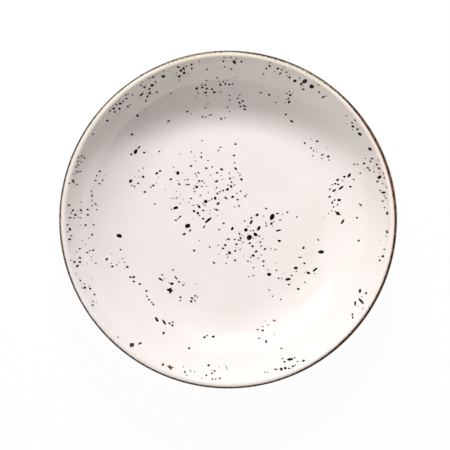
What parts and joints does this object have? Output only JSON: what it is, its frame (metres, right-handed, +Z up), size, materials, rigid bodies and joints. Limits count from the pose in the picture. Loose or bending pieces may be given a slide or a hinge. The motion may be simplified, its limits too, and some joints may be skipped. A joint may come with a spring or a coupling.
{
  "type": "deep plate",
  "caption": "Round deep plate with a flat floor, a curved wall, a rounded lip with a brown edge, a speckled cream glaze and a foot ring.",
  "frame": {"origin": "centre of the foot ring's resting face, on the table", "axes": "+Z up along the axis that the plate is turned about; +Y is the top of the picture"},
  "size_m": [0.25, 0.25, 0.05],
  "materials": {
    "biscuit": "fired clay, ground smooth on the foot",
    "cream_glaze": "glossy",
    "brown_edge": "mottled iron oxide under gloss",
    "iron_black": "satin",
    "iron_rust": "satin"
  },
  "bodies": {
    "root": {"ceramic_body": "biscuit", "inner_glaze": "cream_glaze", "outer_glaze": "cream_glaze", "base_glaze": "cream_glaze", "rim_band": "brown_edge", "dark_flecks": "iron_black", "rust_flecks": "iron_rust"}
  },
  "joints": []
}
